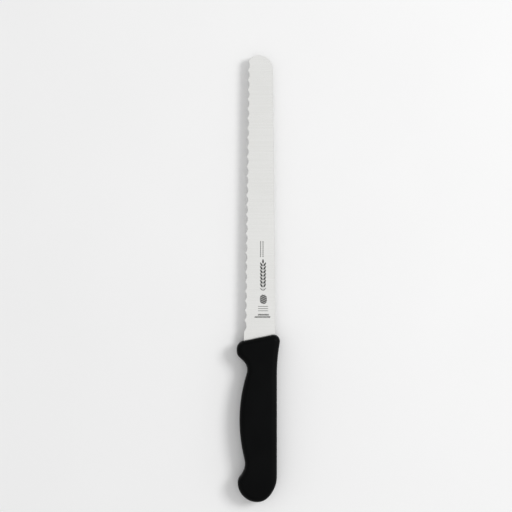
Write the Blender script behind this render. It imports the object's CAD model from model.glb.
"""A bread knife lying on a plain pale floor, seen from straight above in soft studio light.

Metres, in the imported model's own frame: +Y from the handle to the tip, -X the cutting edge,
+Z out of the blade's marked face.
"""

import math

import bmesh
import bpy
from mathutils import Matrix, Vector
from mathutils.bvhtree import BVHTree


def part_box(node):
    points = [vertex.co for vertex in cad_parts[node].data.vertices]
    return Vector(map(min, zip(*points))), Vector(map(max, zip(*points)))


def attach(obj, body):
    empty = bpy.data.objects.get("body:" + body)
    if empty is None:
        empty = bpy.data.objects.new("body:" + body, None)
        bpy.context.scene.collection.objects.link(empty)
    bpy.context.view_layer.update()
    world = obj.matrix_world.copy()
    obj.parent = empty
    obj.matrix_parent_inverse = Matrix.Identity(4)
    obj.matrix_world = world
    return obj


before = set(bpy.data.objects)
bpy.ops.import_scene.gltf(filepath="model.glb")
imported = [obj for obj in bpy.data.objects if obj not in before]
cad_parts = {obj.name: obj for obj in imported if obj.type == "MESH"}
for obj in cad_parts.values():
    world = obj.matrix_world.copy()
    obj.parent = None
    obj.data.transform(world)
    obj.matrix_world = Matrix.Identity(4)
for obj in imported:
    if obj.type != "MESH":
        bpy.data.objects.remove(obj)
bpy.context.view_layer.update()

MM = 0.001
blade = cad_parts["blade"]
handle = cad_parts["handle"]
blade_low, blade_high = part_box("blade")

mid_z = (blade_low[2] + blade_high[2]) / 2  # the blade's middle plane, and the mould's parting plane
half_blade = 1.0 * MM  # the blade is ground thinner than its tang, so its box doesn't say this
face_z = mid_z + half_blade  # the marked face of the blade


# ---- node helpers ----------------------------------------------------------------------------

class Shader:
    """A material's node tree, with short ways to add a node and join it up."""

    def __init__(self, name):
        self.material = bpy.data.materials.new(name)
        self.material.use_nodes = True
        self.tree = self.material.node_tree
        self.surface = self.tree.nodes["Principled BSDF"]

    def add(self, kind, **inputs):
        """A node of that kind. A socket takes a value, or another node's output."""
        node = self.tree.nodes.new("ShaderNode" + kind)
        for name, value in inputs.items():
            self.put(node, name.replace("_", " "), value)
        return node

    def put(self, node, name, value):
        socket = node.inputs[name]
        if isinstance(value, bpy.types.NodeSocket):
            self.tree.links.new(value, socket)
        else:
            socket.default_value = value

    def stretched(self, scale):
        """Object coordinates in metres, multiplied by a scale along each axis."""
        place = self.add("TexCoord").outputs["Object"]
        return self.add("Mapping", Vector=place, Scale=scale).outputs["Vector"]

    def noise(self, scale, detail=3.0, roughness=0.5):
        """Noise from 0 to 1. The scale is in grains per metre along each axis."""
        vector = self.stretched(scale)
        node = self.add("TexNoise", Vector=vector, Scale=1.0, Detail=detail, Roughness=roughness)
        return node.outputs["Fac"]

    def ramp(self, factor, low, high, to_low, to_high):
        """The factor's stretch from low to high, carried to another range and held at its ends."""
        node = self.add("MapRange", Value=factor)
        ends = {"From Min": low, "From Max": high, "To Min": to_low, "To Max": to_high}
        for name, value in ends.items():
            node.inputs[name].default_value = value
        return node.outputs["Result"]

    def math(self, operation, a, b):
        node = self.tree.nodes.new("ShaderNodeMath")
        node.operation = operation
        self.put(node, 0, a)
        self.put(node, 1, b)
        return node.outputs[0]

    def blend(self, factor, first, second):
        node = self.tree.nodes.new("ShaderNodeMix")
        node.data_type = "RGBA"
        self.put(node, 0, factor)
        self.put(node, 6, first)
        self.put(node, 7, second)
        return node.outputs[2]

    def flatness(self):
        """1 where the surface lies flat, down to 0 where it stands upright."""
        normal = self.add("NewGeometry").outputs["Normal"]
        return self.math("ABSOLUTE", self.add("SeparateXYZ", Vector=normal).outputs["Z"], 0.0)

    def bump(self, height, distance, normal=None):
        """A normal for that height, of 0 to 1 times a distance in metres, over another normal."""
        node = self.add("Bump", Height=height, Distance=distance)
        if normal is not None:
            self.put(node, "Normal", normal)
        return node.outputs["Normal"]

    def finish(self, **sockets):
        for name, value in sockets.items():
            self.put(self.surface, name.replace("_", " "), value)
        return self.material


# ---- materials -------------------------------------------------------------------------------

def satin_steel():
    """Stamped stainless: flats ground across the blade, flutes ground by a wheel along it."""
    dull, bright = (0.765, 0.765, 0.747, 1), (0.80, 0.80, 0.785, 1)
    s = Shader("satin_steel")
    flute = s.ramp(s.flatness(), 0.94, 0.985, 1.0, 0.0)
    across = s.noise((110, 6200, 110), detail=4.0)
    along = s.noise((7000, 160, 7000), detail=4.0)
    brushed = s.blend(flute, across, along)
    streaks = s.noise((9, 760, 9), detail=3.0)
    clouds = s.noise((38, 26, 38), detail=4.0)
    scratch = s.ramp(s.noise((2600, 40, 300), detail=2.0), 0.69, 0.74, 0.0, 1.0)
    smudge = s.ramp(s.noise((60, 42, 60), detail=5.0, roughness=0.6), 0.52, 0.68, 0.0, 1.0)
    tone = s.math("ADD", s.math("MULTIPLY", streaks, 0.6), s.math("MULTIPLY", clouds, 0.4))
    colour = s.blend(s.ramp(tone, 0.38, 0.62, 0.0, 1.0), dull, bright)
    rough = s.ramp(brushed, 0.3, 0.7, 0.25, 0.37)
    rough = s.math("ADD", rough, s.math("MULTIPLY", scratch, 0.08))
    rough = s.math("ADD", rough, s.math("MULTIPLY", smudge, 0.05))
    relief = s.bump(brushed, 5e-6)
    relief = s.bump(scratch, 2e-6, normal=relief)
    return s.finish(Base_Color=colour, Metallic=1.0, Roughness=rough, Normal=relief)


def moulded_black():
    """Black plastic with a spark-eroded mould's fine texture, polished by hands at its rims."""
    fresh, rubbed = (0.0010, 0.0012, 0.0013, 1), (0.0022, 0.0025, 0.0026, 1)
    s = Shader("moulded_black")
    rim = s.ramp(s.flatness(), 0.55, 0.98, 1.0, 0.0)
    fine = s.noise((2600, 2600, 2600), detail=3.0, roughness=0.6)
    coarse = s.noise((1100, 1100, 1100), detail=2.0)
    rub = s.noise((45, 30, 45), detail=4.0)
    colour = s.blend(s.ramp(rub, 0.35, 0.7, 0.0, 1.0), fresh, rubbed)
    rough = s.ramp(rub, 0.35, 0.65, 0.46, 0.56)
    rough = s.math("SUBTRACT", rough, s.math("MULTIPLY", rim, 0.07))
    relief = s.bump(coarse, 5e-5)
    relief = s.bump(fine, 3e-5, normal=relief)
    return s.finish(Base_Color=colour, Roughness=rough, Normal=relief, Specular_IOR_Level=0.055)


def etched_grey():
    """Electro-etched marks: a dull, slightly uneven near-black in the steel."""
    dark, light = (0.014, 0.014, 0.014, 1), (0.032, 0.032, 0.031, 1)
    s = Shader("etched_grey")
    patchy = s.noise((700, 700, 700), detail=4.0)
    colour = s.blend(s.ramp(patchy, 0.3, 0.7, 0.0, 1.0), dark, light)
    relief = s.bump(patchy, 4e-6)
    rough = s.ramp(patchy, 0.3, 0.7, 0.5, 0.68)
    return s.finish(
        Base_Color=colour, Metallic=0.5, Roughness=rough, Normal=relief, Specular_IOR_Level=0.3
    )


def pale_floor():
    """A seamless off-white table, very slightly uneven."""
    dark, light = (0.90, 0.90, 0.90, 1), (0.93, 0.93, 0.93, 1)
    s = Shader("pale_floor")
    colour = s.blend(s.noise((9, 9, 9), detail=4.0), dark, light)
    return s.finish(Base_Color=colour, Roughness=0.8, Specular_IOR_Level=0.2)


def dress(obj, material):
    """Every slot of the object takes the material."""
    if not obj.material_slots:
        obj.data.materials.append(material)
    for material_slot in obj.material_slots:
        material_slot.material = material


plastic = moulded_black()
dress(blade, satin_steel())
dress(handle, plastic)


# ---- mesh helpers ----------------------------------------------------------------------------

def keep(name, mesh, material):
    """Turn a bmesh into a named piece that rides with the knife."""
    bmesh.ops.recalc_face_normals(mesh, faces=mesh.faces)
    data = bpy.data.meshes.new(name)
    mesh.to_mesh(data)
    mesh.free()
    piece = bpy.data.objects.new(name, data)
    bpy.context.scene.collection.objects.link(piece)
    dress(piece, material)
    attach(piece, "root")


def skin(mesh, rings):
    """Faces between each ring of vertices and the next. The rings are closed and equally long."""
    for first, second in zip(rings, rings[1:]):
        for i in range(len(first)):
            j = (i + 1) % len(first)
            mesh.faces.new((first[i], first[j], second[j], second[i]))


# ---- etched marks ----------------------------------------------------------------------------
# In place of a maker's: a wheat ear, rules and a sliced loaf. Their outlines are in millimetres.

EAR_X = 4.0  # the ear stands on this line, and one of the two dashed rules beyond it


def bar(x0, y0, x1, y1):
    return [(x0, y0), (x1, y0), (x1, y1), (x0, y1)]


def grain(x, y, length, width, lean):
    """A grain of wheat: pointed at its far end, leaning away from the stalk."""
    corners, taper = 18, (1.15, 0.55)
    points = []
    for step in range(corners):
        turn = math.tau * step / corners
        out = length / 2 * (1 + math.cos(turn))
        side = width / 2 * math.sin(turn) * (taper[0] - taper[1] * out / length)
        points.append((
            x + side * math.cos(lean) + out * math.sin(lean),
            y + out * math.cos(lean) - side * math.sin(lean),
        ))
    return points


def wheat_ear():
    """A stalk with seven pairs of grains, a grain at its top and two thin leaves at its foot."""
    low, high = -11.0, 16.7
    stalk_width, stalk_end = 0.28, high - 4.1
    first_pair, pair_pitch, grain_offset = 3.4, 3.0, 0.62
    leaf_root, leaf_offset = 0.5, 0.45
    top_length = 3.9
    shapes = [bar(EAR_X - stalk_width / 2, low, EAR_X + stalk_width / 2, stalk_end)]
    for pair in range(7):
        y = low + first_pair + pair_pitch * pair
        for side in (-1, 1):
            x = EAR_X + grain_offset * side
            shapes.append(grain(x, y, length=3.8, width=1.5, lean=0.50 * side))
    shapes.append(grain(EAR_X, high - top_length, length=top_length, width=1.6, lean=0.0))
    for side in (-1, 1):
        x = EAR_X + leaf_offset * side
        shapes.append(grain(x, low + leaf_root, length=3.2, width=0.7, lean=0.75 * side))
    return shapes


def rules():
    """Dashed rules along the blade by the ear, and hairlines and rows of slanted bars across it."""
    dash_start, dash_pitch, dash_length, half_width = 18.4, 1.75, 1.3, 0.34
    shapes = []
    for rule_x in (1.9, EAR_X):
        for dash in range(8):
            low = dash_start + dash_pitch * dash
            shapes.append(bar(rule_x - half_width, low, rule_x + half_width, low + dash_length))

    hairline_low, hairline_high, hairline_pitch = -24.42, -24.02, 1.9
    for row in range(3):
        down = hairline_pitch * row
        shapes.append(bar(-0.3, hairline_low - down, 8.3, hairline_high - down))

    bars, bar_height, bar_share, bar_slant = 12, 1.35, 0.7, 0.3
    first_row, row_pitch = -32.1, 1.95
    for row, (left, right) in enumerate([(-0.4, 9.0), (-3.3, 10.3)]):
        for number in range(bars):
            step = (right - left) / bars
            x, y = left + step * number, first_row - row_pitch * row
            shapes.append([
                (x, y), (x + bar_share * step, y),
                (x + step, y + bar_height), (x + bar_slant * step, y + bar_height),
            ])
    return shapes


def oval(wide, tall, squareness, points):
    """A rounded oval about the origin, squarer than an ellipse."""
    outline = []
    for step in range(points):
        turn = math.tau * step / points
        x, y = math.cos(turn), math.sin(turn)
        outline.append((
            math.copysign(abs(x) ** squareness, x) * wide / 2,
            math.copysign(abs(y) ** squareness, y) * tall / 2,
        ))
    return outline


def band(outline, lean, low, high):
    """The part of a convex outline between two parallel lines, at two distances along the lean."""
    for level, way in ((low, 1), (high, -1)):
        kept = []
        for first, second in zip(outline, outline[1:] + outline[:1]):
            a = way * (first[0] * math.sin(lean) + first[1] * math.cos(lean) - level)
            b = way * (second[0] * math.sin(lean) + second[1] * math.cos(lean) - level)
            if a >= 0:
                kept.append(first)
            if a * b < 0:
                share = a / (a - b)
                kept.append((
                    first[0] + (second[0] - first[0]) * share,
                    first[1] + (second[1] - first[1]) * share,
                ))
        outline = kept
    return outline


def sliced_loaf():
    """A dark oval cut into slices by slanted gaps."""
    middle_x, middle_y = 4.3, -18.1
    lean = math.radians(24)
    pitch, gap = 1.45, 0.38
    whole = oval(wide=6.1, tall=8.1, squareness=0.82, points=48)
    shapes = []
    for number in range(-3, 4):
        middle, reach = pitch * number, (pitch - gap) / 2
        one = band(whole, lean, middle - reach, middle + reach)
        if len(one) > 2:
            shapes.append([(middle_x + x, middle_y + y) for x, y in one])
    return shapes


def plate(mesh, outline, low, high):
    """A flat plate with that outline, in millimetres, between two levels in metres."""
    bottom = [mesh.verts.new((x * MM, y * MM, low)) for x, y in outline]
    top = [mesh.verts.new((x * MM, y * MM, high)) for x, y in outline]
    mesh.faces.new(top)
    mesh.faces.new(bottom[::-1])
    skin(mesh, [bottom, top])


sunk, proud = 0.004 * MM, 0.014 * MM  # how far the marks reach into the face and out of it
mark_low, mark_high = face_z - sunk, face_z + proud
marks = bmesh.new()
for shape in wheat_ear() + rules() + sliced_loaf():
    plate(marks, shape, mark_low, mark_high)
keep("blade_marks", marks, etched_grey())


# ---- parting line ----------------------------------------------------------------------------
# The line where the mould's halves met runs round the handle, level with the blade.

WELD = 0.001 * MM  # the CAD mesh is split along its faces, and its section is joined up again
TOUCHING = 0.02 * MM  # an edge of the section this near the blade is seated on it


def rim_path():
    """The handle's bare rim at the parting plane, as points from one end to the other."""
    section = bmesh.new()
    section.from_mesh(handle.data)
    bmesh.ops.bisect_plane(
        section, geom=section.verts[:] + section.edges[:] + section.faces[:],
        plane_co=(0, 0, mid_z), plane_no=(0, 0, 1), clear_inner=True, clear_outer=True,
    )
    bmesh.ops.remove_doubles(section, verts=section.verts[:], dist=WELD)
    steel_surface = BVHTree.FromObject(blade, bpy.context.evaluated_depsgraph_get())
    links = {}
    for edge in section.edges:
        middle = (edge.verts[0].co + edge.verts[1].co) / 2
        if steel_surface.find_nearest(middle)[3] > TOUCHING:
            for vert in edge.verts:
                links.setdefault(vert, []).append(edge)
    vert = next(vert for vert, edges in links.items() if len(edges) == 1)
    points, edge = [vert.co.copy()], links[vert][0]
    while edge:
        vert = edge.other_vert(vert)
        points.append(vert.co.copy())
        edge = next((other for other in links[vert] if other is not edge), None)
    section.free()
    if sum(a.x * b.y - b.x * a.y for a, b in zip(points, points[1:] + points[:1])) < 0:
        points.reverse()
    return points


# the ridge's corners in millimetres: out of the handle and up
ridge_profile = ((-0.03, -0.14), (0.06, -0.04), (0.06, 0.04), (-0.03, 0.14))
path = rim_path()
ridge = bmesh.new()
rows = []
for before, here, after in zip(path[:1] + path, path, path[1:] + path[-1:]):
    run = (after - before).normalized()
    outward = Vector((run.y, -run.x, 0))
    rows.append([
        ridge.verts.new(here + outward * away * MM + Vector((0, 0, up * MM)))
        for away, up in ridge_profile
    ])
skin(ridge, rows)
ridge.faces.new(rows[0])
ridge.faces.new(rows[-1][::-1])
keep("parting_line", ridge, plastic)


# ---- gate mark -------------------------------------------------------------------------------
# The mould filled from the butt, and left a cut-off pip in a shallow ring there.

GATE_SIDES = 32
# each ring's radius and how far it is raised above the handle, in millimetres
gate_profile = (
    (1.70, -0.03), (1.62, 0.03), (1.30, 0.03), (1.22, -0.02), (0.75, -0.02), (0.68, 0.07), (0.35, 0.10)
)
butt = min(path, key=lambda point: point.y)  # the rim's last point, away from the blade
behind = 5 * MM  # the rays onto the butt start this far behind it
plastic_surface = BVHTree.FromObject(handle, bpy.context.evaluated_depsgraph_get())
gate = bmesh.new()
rings = []
for radius, raised in gate_profile:
    ring = []
    for step in range(GATE_SIDES):
        turn = math.tau * step / GATE_SIDES
        place = butt + Vector((math.cos(turn), 0, math.sin(turn))) * radius * MM
        place.y -= behind
        surface = plastic_surface.ray_cast(place, Vector((0, 1, 0)))[0]
        ring.append(gate.verts.new(surface - Vector((0, raised * MM, 0))))
    rings.append(ring)
skin(gate, rings)
gate.faces.new(rings[-1])
gate.faces.new(rings[0][::-1])
keep("gate_mark", gate, plastic)


# ---- stage -----------------------------------------------------------------------------------

floor_size = 40.0
bpy.ops.mesh.primitive_plane_add(size=floor_size, location=(0, 0, 0))
floor = bpy.context.object
floor.name = "floor"
dress(floor, pale_floor())

world = bpy.data.worlds.new("studio")
bpy.context.scene.world = world
world.use_nodes = True
backdrop = world.node_tree.nodes["Background"]
backdrop.inputs["Color"].default_value = (1.0, 1.0, 1.0, 1)
backdrop.inputs["Strength"].default_value = 0.60


def softbox(name, place, size, power):
    """A square area light aimed at the middle of the knife."""
    light = bpy.data.lights.new(name, "AREA")
    light.shape = "SQUARE"
    light.size = size
    light.energy = power
    lamp = bpy.data.objects.new(name, light)
    bpy.context.scene.collection.objects.link(lamp)
    lamp.location = place
    lamp.rotation_mode = "QUATERNION"
    lamp.rotation_quaternion = (-Vector(place)).to_track_quat("-Z", "Y")


softbox("overhead", (0.0, 0.0, 2.4), size=2.2, power=5.4)
softbox("key", (1.55, 0.6, 1.7), size=0.8, power=24)

# the camera looks straight down, far enough off that the knife is drawn without much perspective
view_width = 0.44196  # what the photograph's width spans at the blade
view_x, view_y = -0.00205, 0.01925
lens, sensor = 100.0, 36.0
camera_data = bpy.data.cameras.new("camera")
camera_data.lens = lens
camera_data.sensor_width = sensor
camera = bpy.data.objects.new("camera", camera_data)
bpy.context.scene.collection.objects.link(camera)
camera.location = (view_x, view_y, mid_z + view_width * lens / sensor)
bpy.context.scene.camera = camera

bpy.context.scene.view_settings.view_transform = "Standard"
